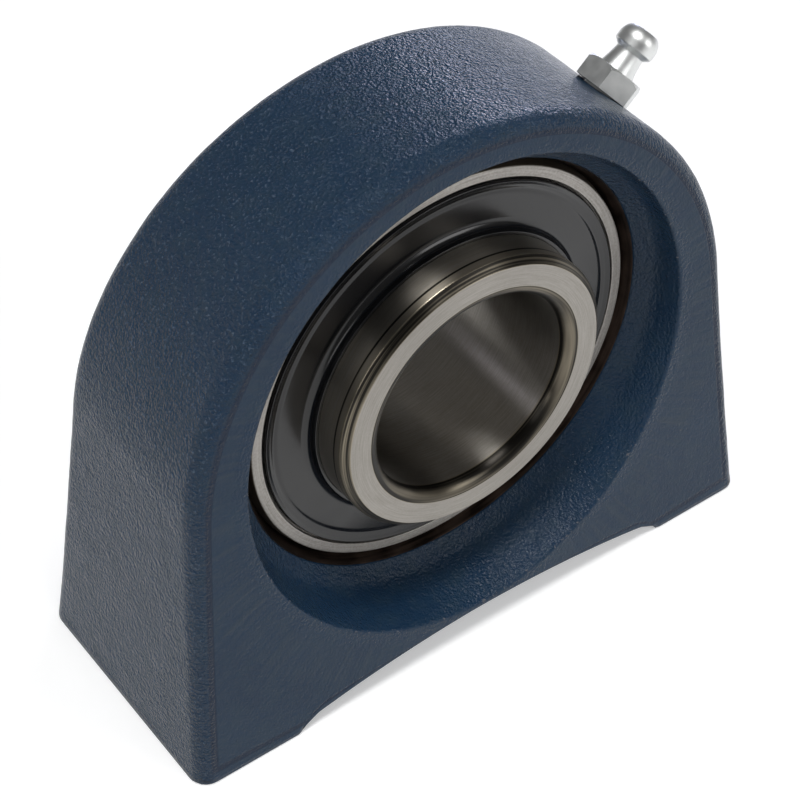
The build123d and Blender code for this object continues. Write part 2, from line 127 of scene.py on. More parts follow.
# %% Outline seen from the front
STEP = 0.72  # between points
touch = atan2(-DOME_HEIGHT, BASE_HALF) + acos(DOME_RADIUS / hypot(BASE_HALF, DOME_HEIGHT))
touch_point = (DOME_RADIUS * cos(touch), DOME_HEIGHT + DOME_RADIUS * sin(touch))
_, relief_z, relief_r = circle_through((-RELIEF_EDGE[0], RELIEF_EDGE[1]), (0, RELIEF_TOP), RELIEF_EDGE)


def base_height(x):
    """Underside of the casting at a distance from its middle."""
    x = abs(x)
    if x <= RELIEF_EDGE[0]:
        return relief_z + sqrt(relief_r ** 2 - x ** 2)
    for (x1, z1), (x2, z2) in ((RELIEF_EDGE, FOOT_STEP), (FOOT_STEP, (FOOT_INNER, 0))):
        if x <= x2:
            return z1 + (z2 - z1) * (x - x1) / (x2 - x1)
    return 0.0


def between(a, b):
    """Points from a up to but not including b."""
    n = max(1, round(hypot(b[0] - a[0], b[1] - a[1]) / STEP))
    return [(a[0] + (b[0] - a[0]) * i / n, a[1] + (b[1] - a[1]) * i / n) for i in range(n)]


def half_outline():
    """Right half of the outline from the top of the dome to the middle of the base."""
    n = round((pi / 2 - touch) * DOME_RADIUS / STEP)
    dome = [pi / 2 + (touch - pi / 2) * i / n for i in range(n)]
    line = [(DOME_RADIUS * cos(a), DOME_HEIGHT + DOME_RADIUS * sin(a)) for a in dome]
    corners = [touch_point, (BASE_HALF, 0), (FOOT_INNER, 0), FOOT_STEP, RELIEF_EDGE]
    for a, b in zip(corners, corners[1:]):
        line += between(a, b)
    n = round(RELIEF_EDGE[0] / STEP)
    xs = [RELIEF_EDGE[0] * (1 - i / n) for i in range(n + 1)]
    return line + [(x, base_height(x)) for x in xs]


half = half_outline()
outline = half + [(-x, z) for x, z in reversed(half[1:-1])]
print(len(outline), "points round the outline")

# %% [markdown]
# ## One section of the casting
# At each point of the outline the section runs from the middle of the band, round the cast edge,
# over the face to the lip, and down the recess to the machined mouth and the seat. The distance
# from the rim says how far the cast edge has rounded the face off.

# %% Recess, mouth and seat, the same all round
wall_slope = (WALL_RADIUS - FLOOR_RADIUS) / (WALL_HALF - FLOOR_HALF)
flare_run, flare_rise = RECESS_RADIUS - WALL_RADIUS, FACE_AT[0][1] - WALL_HALF
tangent = Vector((wall_slope, 1)).normalized()
normal = Vector((tangent.y, -tangent.x))
chord = Vector((flare_run, flare_rise))
flare_radius = chord.length_squared / (2 * chord.dot(normal))
flare_centre = Vector((WALL_RADIUS, WALL_HALF)) + normal * flare_radius


def recess_radius(y):
    """Radius of the recess wall at a half width: a straight taper that flares out at its rim."""
    if y <= WALL_HALF:
        return FLOOR_RADIUS + wall_slope * (y - FLOOR_HALF)
    return flare_centre.x - sqrt(max(flare_radius ** 2 - (y - flare_centre.y) ** 2, 0))


def seat_section():
    """From the foot of the recess wall to the edge of the seat, as (radius, half width, surface)."""
    foot = [(39.14, 13.35), (38.95, 12.9), (38.55, 12.4), (37.5, 11.38), (36.58, 10.47)]
    mouth = [(MOUTH_RADIUS, MOUTH_HALF), (36.33, 10.1), (35.9, 9.0), (35.36, 7.7)]
    return [(r, y, "cast") for r, y in foot] + [(r, y, "bored") for r, y in mouth]


print(f"recess rim: radius {recess_radius(22.5):.2f} at the feet, {recess_radius(15):.2f} near the top")

# %% One section, from the band to the seat
FILLET_STEPS, FACE_STEPS, WALL_STEPS, BAND_STEPS = 8, 15, 8, 44
WALL_START, WALL_STOP = 0.15, 0.9  # below the lip, above the floor
fillet_depths = [RIM_ROUND * (1 - cos(pi / 2 * k / FILLET_STEPS)) for k in range(FILLET_STEPS + 1)]
face_shares = [0.03] + [k / FACE_STEPS for k in range(1, FACE_STEPS)] + [0.98, 1.0]
face_surfaces = ["cast"] * 2 + ["rim"] * (FILLET_STEPS - 3) + ["rim_shade_line"] * 2 + ["cast"] * len(face_shares)


def rounded_off(depth, radius):
    """How far an edge of that radius lies below its flat, at a depth in from the edge."""
    depth = min(max(depth, 0), radius)
    return radius - sqrt(radius ** 2 - (radius - depth) ** 2)


def rim_depth(x, z):
    """Distance in from the dome or the straight side."""
    x, z = abs(x), z - DOME_HEIGHT
    if atan2(z, x) > touch:
        return DOME_RADIUS - hypot(x, z)
    return DOME_RADIUS - (x * cos(touch) + z * sin(touch))


def face_at(x, z):
    """Half width of the casting at a point of its face, with the edges rounded off."""
    edge = rounded_off(rim_depth(x, z), RIM_ROUND)
    return half_width(z) - edge - rounded_off(z - base_height(x), FOOT_ROUND)


def lip_at(out):
    """Radius and half width where the recess leaves the face, in one direction from the shaft."""
    radius = RECESS_RADIUS
    for _ in range(12):
        radius = recess_radius(half_width(SHAFT_HEIGHT + radius * out.y))
    return radius, half_width(SHAFT_HEIGHT + radius * out.y)


def bend(start, corner, end, t):
    """A point of the rounding that takes a corner's place, a share t of the way along it."""
    return start * (1 - t) ** 2 + corner * 2 * t * (1 - t) + end * t ** 2


def from_shaft(out, ring):
    """Points in one direction from the shaft, from their (radius, half width, surface)."""
    return [(out.x * r, y, SHAFT_HEIGHT + out.y * r, surface) for r, y, surface in ring]


def half_section(x, z, rim_shares=None):
    """Points (x, half width, z, surface) from rim to seat, and the rim's depths as shares of the face."""
    reach = hypot(x, z - SHAFT_HEIGHT)
    out = Vector((x, z - SHAFT_HEIGHT)) / reach
    lip_radius, lip_y = lip_at(out)
    on_face = Vector((1, (half_width(z + 0.01) - half_width(z)) / 0.01 * out.y)).normalized()
    lower = -Vector((lip_radius - recess_radius(lip_y - 0.5), 0.5)).normalized()
    run = LIP_ROUND * tan((pi - on_face.angle(lower)) / 2)
    face_length = reach - lip_radius - run * on_face.x
    if rim_shares is None:
        slant = rim_depth(x - out.x, z - out.y) - rim_depth(x, z)
        depths = [depth / slant for depth in fillet_depths]
    else:
        depths = [share * face_length for share in rim_shares]
    rim_shares, rim = [depth / face_length for depth in depths], depths[-1]
    depths += [rim + (face_length - rim) * share for share in face_shares]
    points = []
    for depth, surface in zip(depths, face_surfaces):
        px, pz = x - out.x * depth, z - out.y * depth
        points.append((px, face_at(px, pz), pz, surface))
    lip = Vector((lip_radius, lip_y))
    start, end = lip + on_face * run, lip + lower * run
    ring = [(*bend(start, lip, end, t), "lip") for t in (0.25, 0.5, 0.75, 1.0)]
    fall = end.y - FLOOR_HALF - WALL_STOP
    wall = [end.y - WALL_START] + [end.y - fall * k / (WALL_STEPS - 1) for k in range(1, WALL_STEPS)]
    ring += [(recess_radius(y), y, "cast") for y in wall]
    return points + from_shaft(out, ring + seat_section()), rim_shares


section, corner_shares = half_section(BASE_HALF, 0)
print(len(section), "points from the rim to the seat")

# %% [markdown]
# ## Closing the grid
# The two halves of each section are joined by the band outside and by the seat inside, where the
# seat carries the groove that leads grease to the insert. Each point also learns how rough its
# skin is, from one on the band to nothing on what a tool has cut, how soon its paint wears, first
# at the lip and later round the rim, and whether it lies at the foot of the rim, where a dark line
# of painted shade is drawn.

# %% Grid of the whole casting
groove_low, groove_high, groove_depth = GREASE_GROOVE
seat_ys = [-SEAT_HALF, -6.4, -5.0, -3.8, groove_low, groove_low + 0.01, -2.6, -1.5, -0.4,
           groove_high - 0.01, groove_high, 0.8, 2.4, 4.0, 5.4, 6.6, SEAT_HALF]
FACE_SKIN, LIP_SKIN = 0.16, 0.45  # roughness, where the band has 1
WEAR = {"rim": 0.5, "lip": 1.0}


def seat_point(y):
    """Radius of the spherical seat, or of the groove cut into it."""
    if groove_low < y < groove_high:
        return SEAT_RADIUS + groove_depth
    return sqrt(SEAT_RADIUS ** 2 - y ** 2)


def whole_section(x, z):
    """The closed ring of points through one point of the outline."""
    low = z <= base_height(x) + 0.001
    points, _ = half_section(x, z, corner_shares if low else None)
    out = Vector((x, z - SHAFT_HEIGHT)).normalized()
    front = [(px, -y, pz, surface) for px, y, pz, surface in points]
    seat = from_shaft(out, [(seat_point(y), y, "bored") for y in seat_ys])
    edge = points[0][1]
    under = "foot" if z < 0.001 else "band"
    band = [(x, edge - 2 * edge * k / BAND_STEPS, z, under) for k in range(1, BAND_STEPS)]
    return front + seat + points[::-1] + band


def strip(low, high, count):
    """Quads between two closed rings of points, from the number of each ring's first point."""
    return [(low + k, low + (k + 1) % count, high + (k + 1) % count, high + k) for k in range(count)]


def roughness_at(x, y, z, surface):
    """How rough the skin is: full on the band, half inside the recess, least on the faces."""
    if surface in ("bored", "foot") or z < 0.5:
        return 0.0
    depth = rim_depth(x, z)
    if surface == "band" or depth < 0.01:
        return 1.0
    inside = hypot(x, z - SHAFT_HEIGHT) - recess_radius(abs(y))
    near_lip = LIP_SKIN - 0.1 * max(inside, 0)
    return max(FACE_SKIN, near_lip, min(1.0, 1.9 - 1.75 * depth / RIM_ROUND))


sections = [whole_section(x, z) for x, z in outline]
count = len(sections[0])
skin = [point for section in sections for point in section]
faces, surfaces = [], []
for i in range(len(sections)):
    faces += strip(i * count, (i + 1) % len(sections) * count, count)
for quad in faces:
    kinds = [skin[corner][3] for corner in quad]
    surfaces.append(1 if set(kinds) == {"bored"} else 2 if kinds[0] == kinds[3] == "foot" else 0)

casting = bpy.data.meshes.new("casting")
casting.from_pydata([Vector(point[:3]) * MM for point in skin], [], faces)
for label, values in (("rough", [roughness_at(*point) for point in skin]),
                      ("worn", [WEAR.get(point[3], 0.0) for point in skin]),
                      ("rim_shade_line", [float(point[3] == "rim_shade_line") for point in skin])):
    casting.attributes.new(label, "FLOAT", "POINT").data.foreach_set("value", values)
casting.attributes.new("surface", "INT", "FACE").data.foreach_set("value", surfaces)
print(len(skin), "points,", len(faces), "quads")

# %% [markdown]
# ## Materials, from what each one really is
# Every material starts from its real self: the base metal or paint, then how its surface was
# made. One function turns a colour as written on a swatch into the linear value that a shader
# wants, and one adds a node with its settings and links. A kind is named without the word that
# all shader nodes start with. Patterns are sized in mm and read the piece's own coordinates,
# centred on the insert, so they stay on a piece when it turns.

# %% Colour, nodes and pattern sizes
TRUE_RADIUS = 30  # where a mark round the shaft has its true length


def colour(swatch):
    """Linear colour from an sRGB hex swatch."""
    parts = [int(swatch[i:i + 2], 16) / 255 for i in (1, 3, 5)]
    return [p / 12.92 if p <= 0.04045 else ((p + 0.055) / 1.055) ** 2.4 for p in parts] + [1.0]


def feed(node, sockets):
    """Link or set a node's sockets, by name or in order. A swatch goes in as its linear colour."""
    for name, value in sockets.items() if isinstance(sockets, dict) else enumerate(sockets):
        if isinstance(value, bpy.types.NodeSocket):
            node.id_data.links.new(value, node.inputs[name])
        else:
            swatch = isinstance(value, str) and value.startswith("#")
            node.inputs[name].default_value = colour(value) if swatch else value


def add(tree, kind, sockets=(), output=0, **settings):
    """One node of a kind, after which its operation may follow, with its settings and sockets.
    Hands back its first output, another one, or all of them for None."""
    kind, _, operation = kind.partition(" ")
    node = tree.nodes.new(kind if "Node" in kind else "ShaderNode" + kind)
    for name, value in (settings | ({"operation": operation} if operation else {})).items():
        setattr(node, name, value)
    feed(node, sockets)
    return node.outputs if output is None else node.outputs[output]


def per_metre(size):
    """Texture scale that draws one feature every so many mm."""
    return 1000 / size


def new_material(name, base, metallic, roughness, *noises):
    """A material, its tree and shader, a point's place about the insert, and its noises (mm, detail)."""
    material = bpy.data.materials.new(name)
    material.use_nodes = True
    tree = material.node_tree
    shader = tree.nodes["Principled BSDF"]
    feed(shader, {"Base Color": base, "Metallic": metallic, "Roughness": roughness})
    where = add(tree, "TexCoord", output="Object")
    where = add(tree, "Mapping", {"Vector": where, "Location": (0, 0, -SHAFT_HEIGHT * MM)})
    noises = [add(tree, "TexNoise", {"Vector": where, "Scale": per_metre(size), "Detail": detail})
              for size, detail in noises]
    return material, tree, shader, where, *noises


def two_tone(pattern, low, high, dull, bright):
    """A pattern spread between two colours, from its low value to its high one."""
    spread = add(pattern.id_data, "MapRange", [pattern, low, high])
    return add(pattern.id_data, "Mix", {"Factor": spread, 6: dull, 7: bright}, output=2, data_type="RGBA")


def dress(shader, tint, roughness, *layers):
    """Give a shader its colour, roughness and relief, in layers of a pattern and its depth in mm."""
    bent = {}
    for pattern, depth in layers:
        sockets = {"Height": pattern, "Distance": depth * MM} | bent
        bent = {"Normal": add(shader.id_data, "Bump", sockets)}
    feed(shader, {"Base Color": tint, "Roughness": roughness} | bent)


def around_shaft(where, across, along):
    """Noise stretched round the shaft: marks so wide across, and so long round it, in mm."""
    tree = where.id_data
    split = add(tree, "SeparateXYZ", [where], output=None)
    flat = add(tree, "CombineXYZ", {"X": split["X"], "Z": split["Z"]})
    radius = add(tree, "VectorMath LENGTH", [flat], output="Value")
    turn = add(tree, "VectorMath NORMALIZE", [flat])
    circle = TRUE_RADIUS * MM * across / along
    spread = add(tree, "VectorMath SCALE", {0: turn, "Scale": circle})
    row = add(tree, "Math ADD", [radius, split["Y"]])
    sockets = {"Vector": spread, "W": row, "Scale": per_metre(across), "Detail": 2.0}
    return add(tree, "TexNoise", sockets, noise_dimensions="4D")


print("a swatch of #808080 is", round(colour("#808080")[0], 3), "to the shader")

# %% [markdown]
# ### Painted cast iron
# The block is cast in sand, fettled, and sprayed with slate-blue enamel. Sand leaves a pebbled
# skin, the faces are dressed on a disc that leaves faint scratches straight out from the shaft,
# and the enamel lies over both, glossy and chipped where the block has been knocked. One flat
# colour would look like plastic, so the skin is built as the casting was: sand grain and lumps,
# ripple of the paint, dressing marks, a sand hole here and there, then chips, all ruled by the
# values that the grid carries. Two marks are painted light: pale specks on the peaks of the grain
# are painted glints, and a dark line at the foot of the rim is painted shade.

# %% Painted cast iron
# Sand grain is about 0.3 mm. It is drawn at 0.42 mm, the finest that still shows as pebbles.
enamel, tree, shader, where, sand, ripple, chip, patch, broad = new_material(
    "slate_blue_enamel_on_cast_iron", "#25374A", 0.0, 0.3,
    (0.42, 2.0), (0.3, 1.0), (0.9, 3.0), (3.0, 3.0), (14.0, 2.0))
feed(shader, {"Specular IOR Level": 0.2})
rough, worn, rim_shade_line = (add(tree, "Attribute", output="Fac", attribute_name=name)
                        for name in ("rough", "worn", "rim_shade_line"))
grain_and_glints, lumps = (add(tree, "Math MULTIPLY", [noise, rough]) for noise in (sand, chip))

# The disc presses on the smooth faces only, and no further out than 50 to 58 mm from the shaft.
smooth = add(tree, "MapRange", [rough, 0.4, FACE_SKIN])
reach = add(tree, "VectorMath MULTIPLY", [where, (1, 0, 1)])
reach = add(tree, "VectorMath LENGTH", [reach], output="Value")
reached = add(tree, "MapRange", [reach, 58 * MM, 50 * MM])
pressed = add(tree, "Math MULTIPLY", [smooth, reached])
dressing = add(tree, "Math MULTIPLY", [around_shaft(where, 26.0, 0.8), pressed])

# The disc stops where the rim begins to round off. Along the foot of the rim a dark line is painted shade: the
# enamel is darkened and sunk a little there, broken up by the chip noise.
painted_rim_shade = add(tree, "Math MULTIPLY_ADD", [chip, 0.5, rim_shade_line])
painted_rim_shade = add(tree, "MapRange", [painted_rim_shade, 0.45, 1.1])
ready = add(tree, "Math MULTIPLY_ADD", [worn, 0.2, chip])
chipped = add(tree, "MapRange", [ready, 0.82, 0.9])
holes = add(tree, "TexVoronoi", {"Vector": where, "Scale": per_metre(8.0)}, output=None)
near = add(tree, "MapRange", [holes["Distance"], 0.035, 0.075])
chosen = add(tree, "SeparateColor", [holes["Color"]])
spared = add(tree, "Math LESS_THAN", [chosen, 0.75])
sound = add(tree, "Math MAXIMUM", [near, spared])

# Pale specks on the peaks of the grain are painted glints. The dark line at the foot of the rim is painted
# shade.
tint = "#182F46"
for pattern, low, high, swatch in ((broad, 0.35, 0.65, "#1C334A"), (patch, 0.42, 0.85, "#233748"),
                                   (dressing, 0.45, 0.75, "#293949"), (painted_rim_shade, 0, 1, "#12243A"),
                                   (grain_and_glints, 0.58, 0.8, "#4D5E72"), (chipped, 0, 1, "#5D5E63")):
    tint = two_tone(pattern, low, high, tint, swatch)
dull = add(tree, "MapRange", [patch, 0.3, 0.7, 0.15, 0.25])
dress(shader, tint, add(tree, "Math MULTIPLY_ADD", [chipped, 0.25, dull]), (grain_and_glints, 0.5), (lumps, 0.36),
      (ripple, 0.012), (dressing, 0.1), (sound, 0.12), (chipped, -0.03), (painted_rim_shade, -0.02))
print(enamel.name)

# %% [markdown]
# ### Bored and milled iron
# A lathe or a grinding wheel leaves fine marks that run round the axis, and that is what makes
# a machined face look machined. The marks need the radius and the direction from the axis. An
# angle would jump where it closes, so the direction goes in as a point on a small circle. Bare
# cast iron is grey with a brown bloom, because it starts to rust on the first damp day.

# %% Bare machined metal
def machined(name, dull, bright, roughness, across=0.25, depth=0.004):
    """Bare metal with tool marks round the shaft, so wide and deep in mm."""
    material, tree, shader, where, clouds = new_material(name, bright, 1.0, roughness, (5.0, 3.0))
    marks = around_shaft(where, across, 9.0)
    blend = add(tree, "Math ADD", [marks, clouds])
    tint = two_tone(blend, 0.75, 1.25, dull, bright)
    hazy = add(tree, "MapRange", [clouds, 0.3, 0.7, roughness * 0.85, roughness * 1.2])
    dress(shader, tint, hazy, (marks, depth))
    return material


bored_iron = machined("bored_cast_iron", "#2C2522", "#5B4D45", 0.45, across=0.35, depth=0.012)
print(bored_iron.name)

# %% [markdown]
# The feet are faced flat on a milling machine, so they alone of the casting are bright, crossed
# by the shallow arcs of a cutter wider than the block. The arcs are rings about a line 110 mm
# behind the shaft's middle, and the specks are flakes of graphite in the iron.

# %% Milled feet
CUTTER_AT, FEED = 110, 3.158  # the cutter's middle, and its way in one turn
milled, tree, shader, where, graphite = new_material("milled_cast_iron", "#8E8A84", 1.0, 0.4, (0.5, 3.0))
far = add(tree, "Mapping", {"Vector": where, "Location": (0, -CUTTER_AT * MM, 0)})
# A wave texture counts 20 radians to its unit.
arcs = add(tree, "TexWave", {
    "Vector": far, "Scale": per_metre(FEED) * 2 * pi / 20, "Distortion": 0.6, "Detail": 2.0, "Detail Scale": 1.5,
}, output="Fac", wave_type="RINGS", rings_direction="Z")
dress(shader, two_tone(graphite, 0.35, 0.65, "#79756F", "#9A968F"), 0.4, (graphite, 0.008), (arcs, 0.01))
print(milled.name)

# %% [markdown]
# ## Cast skin
# The bump in the paint can't move the outline of the block, so the largest unevenness is real.
# It could be sculpted by hand, but a rule does it evenly: a geometry tree pushes each point of
# the grid along its normal by noise, as far as its `rough` value allows. The tree ends by giving
# each face the material that its tool or mould left.

# %% A tree with named inputs
def new_tree(name, sockets):
    """An empty geometry tree with its named inputs, and the sockets that they arrive at."""
    tree = bpy.data.node_groups.new(name, "GeometryNodeTree")
    for way in ("INPUT", "OUTPUT"):
        tree.interface.new_socket("Geometry", in_out=way, socket_type="NodeSocketGeometry")
    for label, kind in sockets.items():
        tree.interface.new_socket(label, in_out="INPUT", socket_type="NodeSocket" + kind)
    return tree, add(tree, "NodeGroupInput", output=None)


def run_tree(mesh, tree, values, label):
    """A plain mesh from a tree run on a mesh: the modifier is set, read once and gone."""
    carrier = put(label, mesh)
    modifier = carrier.modifiers.new(label, "NODES")
    modifier.node_group = tree
    identifiers = {socket.name: socket.identifier for socket in tree.interface.items_tree}
    for name, value in values.items():
        modifier[identifiers[name]] = value
    return baked(carrier, label)


def baked(carrier, label):
    """The evaluated object as a plain mesh. The carrier is removed."""
    ready = carrier.evaluated_get(bpy.context.evaluated_depsgraph_get())
    mesh = bpy.data.meshes.new_from_object(ready)
    mesh.name = label
    bpy.data.objects.remove(carrier)
    return mesh


def face_out(mesh, sharp=35):
    """Normals outwards, smooth shading, and sharp edges where a tool left them."""
    work = bmesh.new()
    work.from_mesh(mesh)
    bmesh.ops.recalc_face_normals(work, faces=work.faces)
    work.to_mesh(mesh)
    work.free()
    mesh.shade_smooth()
    mesh.set_sharp_from_angle(angle=radians(sharp))
    return mesh


def as_piece(mesh, name, body, node):
    """A finished piece: it rides on its body and stands for its node, which is hidden."""
    piece = put(name, mesh)
    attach(piece, body)
    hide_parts(node)
    print(f"{name}: {len(mesh.polygons)} faces, rides on {body}")

# %% The tree that roughens the casting
tree, given = new_tree("cast_skin", {
    "Lump size": "Float", "Lump height": "Float", "Grain size": "Float", "Grain height": "Float",
    "Seed": "Float", "Cast": "Material", "Bored": "Material", "Foot": "Material",
})
heights = []
for size, height in (("Lump size", "Lump height"), ("Grain size", "Grain height")):
    scale = add(tree, "Math DIVIDE", [1.0, given[size]])
    sockets = {"W": given["Seed"], "Scale": scale, "Detail": 1.5}
    field = add(tree, "TexNoise", sockets, noise_dimensions="4D")
    # Noise lies about 0.5, so 0.7 taken from it sinks the skin and never lets it outgrow the block.
    level = add(tree, "Math SUBTRACT", [field, 0.7])
    heights.append(add(tree, "Math MULTIPLY", [level, given[height]]))
unevenness = add(tree, "Math ADD", heights)
allowed = add(tree, "GeometryNodeInputNamedAttribute", {"Name": "rough"}, output="Attribute", data_type="FLOAT")
pushed = add(tree, "Math MULTIPLY", [unevenness, allowed])
outwards = add(tree, "GeometryNodeInputNormal")
offset = add(tree, "VectorMath SCALE", {0: outwards, "Scale": pushed})
moved = add(tree, "GeometryNodeSetPosition", {"Geometry": given["Geometry"], "Offset": offset})
finished = add(tree, "GeometryNodeRealizeInstances", [moved])
kind = add(tree, "GeometryNodeInputNamedAttribute", {"Name": "surface"}, output="Attribute", data_type="INT")
for number, label in enumerate(("Cast", "Bored", "Foot")):
    chosen = add(tree, "FunctionNodeCompare EQUAL", {2: kind, 3: number}, data_type="INT")
    finished = add(tree, "GeometryNodeSetMaterial", [finished, chosen, given[label]])
add(tree, "NodeGroupOutput", [finished], output=None)

casting.materials.append(enamel)
casting = run_tree(face_out(casting), tree, {
    "Lump size": 9 * MM, "Lump height": 0.22 * MM, "Grain size": 2.6 * MM, "Grain height": 0.09 * MM,
    "Seed": 7.0, "Cast": enamel, "Bored": bored_iron, "Foot": milled,
}, "casting")
print([m.name for m in casting.materials], len(casting.polygons), "faces")

# %% [markdown]
# ## Turned pieces
# Rings and flingers are bodies of revolution: a lathe or a press makes one section and turns it
# round the shaft. The construction mesh shows its flats in a polished reflection, so each of
# them is swept anew from its section by one small tree, in 256 steps. A Screw modifier would
# turn a section too, but the tree also carries a value from the section to the finished ring. No
# real corner is sharp enough to cut, so each gets a tiny round, with a point either side that
# keeps the flats flat.

# %% From corners to a section
SWEEP = 20.0  # radius of the path that a section is drawn from


def section_mesh(corners, label):
    """Closed section from corners (radius, along, break, scale). The last two are 0 when left out,
    and scale darkens what follows its corner."""
    corners = [(*corner, 0, 0.0)[:4] for corner in corners]
    points = []
    befores, afters = corners[-1:] + corners[:-1], corners[1:] + corners[:1]
    for before, (r, y, size, tone), after in zip(befores, corners, afters):
        here = Vector((r, y))
        if size == 0:
            points.append((here, tone))
            continue
        into, out = (Vector(corner[:2]) - here for corner in (before, after))
        if into.length > 5 * size:
            points.append((here + into.normalized() * size * 2, before[3]))
        start, end = here + into.normalized() * size, here + out.normalized() * size
        for t in (0, 0.25, 0.5, 0.75, 1):
            points.append((bend(start, here, end, t), before[3] * (1 - t) + tone * t))
        if out.length > 5 * size:
            points.append((here + out.normalized() * size * 2, tone))
    mesh = bpy.data.meshes.new(label)
    ring = [(i, (i + 1) % len(points)) for i in range(len(points))]
    mesh.from_pydata([((p.x - SWEEP) * MM, -p.y * MM, 0) for p, _ in points], ring, [])
    scale_and_shade = mesh.attributes.new("scale", "FLOAT", "POINT")
    scale_and_shade.data.foreach_set("value", [tone for _, tone in points])
    return mesh


def arc(x, y, radius, start, end, steps):
    """Points along an arc, from one angle in degrees to another."""
    angles = [radians(start + (end - start) * i / steps) for i in range(steps + 1)]
    return [(x + radius * cos(a), y + radius * sin(a)) for a in angles]


def set_down(tree, given, mesh):
    """End a tree: tilt and place what it made, and give it its finish."""
    placed = add(tree, "GeometryNodeTransform", {
        "Geometry": mesh, "Translation": given["Place"], "Rotation": given["Tilt"],
    })
    placed = add(tree, "GeometryNodeRealizeInstances", [placed])
    placed = add(tree, "GeometryNodeSetMaterial", {"Geometry": placed, "Material": given["Finish"]})
    add(tree, "NodeGroupOutput", [placed], output=None)


print("a quarter round in two steps:", [(round(r, 2), round(y, 2)) for r, y in arc(0, 0, 1, 0, 90, 2)])

# %% The tree that turns a section round an axis
turn_tree, given = new_tree("turned", {
    "Steps": "Int", "Path radius": "Float", "Tilt": "Vector", "Place": "Vector", "Finish": "Material",
})
sockets = {"Resolution": given["Steps"], "Radius": given["Path radius"]}
path = add(turn_tree, "GeometryNodeCurvePrimitiveCircle", sockets)
section = add(turn_tree, "GeometryNodeMeshToCurve", [given["Geometry"]])
body = add(turn_tree, "GeometryNodeCurveToMesh", {"Curve": path, "Profile Curve": section})
set_down(turn_tree, given, body)

ALONG_SHAFT = (-pi / 2, 0, 0)
CENTRE = (0, 0, SHAFT_HEIGHT * MM)


def turned(corners, label, finish, tilt=ALONG_SHAFT, place=CENTRE, steps=256, sharp=35):
    """A body of revolution from the corners of its section."""
    mesh = run_tree(section_mesh(corners, label), turn_tree, {
        "Steps": steps, "Path radius": SWEEP * MM, "Tilt": tilt, "Place": place, "Finish": finish,
    }, label)
    print(f"{label}: {len(mesh.polygons)} faces")
    return face_out(mesh, sharp)


print("turned pieces are swept in 256 steps of", round(2 * pi * SEAT_RADIUS / 256, 2), "mm at the largest")

# %% [markdown]
# ### Bearing steel
# The rings are through-hardened chromium steel. Hardening leaves a straw-to-black scale, and
# grinding takes it off only where a face has to be true: the end faces and the bore are bright,
# while the chamfers and the land stay dark. One material could be painted on face by face, but
# the sweep carries a `scale` value round the ring, so the change is as gradual as it really is.
# The same value also draws a thin black band round the land near its front end, painted shade in
# place of a groove that the section does not cut.

# %% Ring steel
def ring_steel(name, bright, dull, roughness, straw, black, speckle):
    """Ground steel that keeps its hardening scale, and a painted line of shade, where the section says so."""
    material, tree, shader, where, clouds, specks = new_material(
        name, bright, 1.0, roughness, (4.5, 3.0), (0.4, 3.0))
    tone = add(tree, "Attribute", output="Fac", attribute_name="scale")
    # Wheel marks on a ground face are finer than a pixel, so they are drawn 0.16 mm wide.
    marks, lines = around_shaft(where, 0.16, 7.0), around_shaft(where, 0.5, 40.0)
    worked = add(tree, "Mix", {"Factor": speckle, "A": marks, "B": specks})
    shift = add(tree, "MapRange", [lines, 0.3, 0.7, -0.35, 0.35])
    uneven = add(tree, "Math MULTIPLY_ADD", [shift, tone, tone])
    tint = two_tone(worked, 0.35, 0.62, dull, bright)
    tint = two_tone(uneven, 0.05, 0.5, tint, straw)
    tint = two_tone(uneven, 0.45, 0.95, tint, black)
    blend = add(tree, "Math ADD", [clouds, worked])
    hazy = add(tree, "MapRange", [blend, 0.7, 1.3, roughness * 0.92, roughness * 1.1])
    dress(shader, tint, hazy, (marks, 0.004), (specks, 0.02 * speckle))
    # Marks that run round the shaft drag a lamp's glint out along it.
    feed(shader, {"Anisotropic": 0.9, "Anisotropic Rotation": 0.25,
                  "Tangent": add(tree, "Tangent", direction_type="RADIAL", axis="Y")})
    return material


inner_steel = ring_steel("ground_bearing_steel", "#9A9690", "#8A867F", 0.3, "#978E7D", "#2C2A27", 0.2)
outer_steel = ring_steel("turned_bearing_steel", "#A9A5A0", "#88847F", 0.38, "#5E574C", "#2E2C2A", 0.4)
print(inner_steel.name, outer_steel.name)

# %% [markdown]
# ### Inner ring
# The wide inner ring is what the shaft goes through. It reaches past the outer ring on both
# sides, further at the rear, where the grub screws are, and its raceway is a groove little larger
# than the balls. Its corners below are the ones a turner would be given, in order round the
# section: bore, end, land, groove.

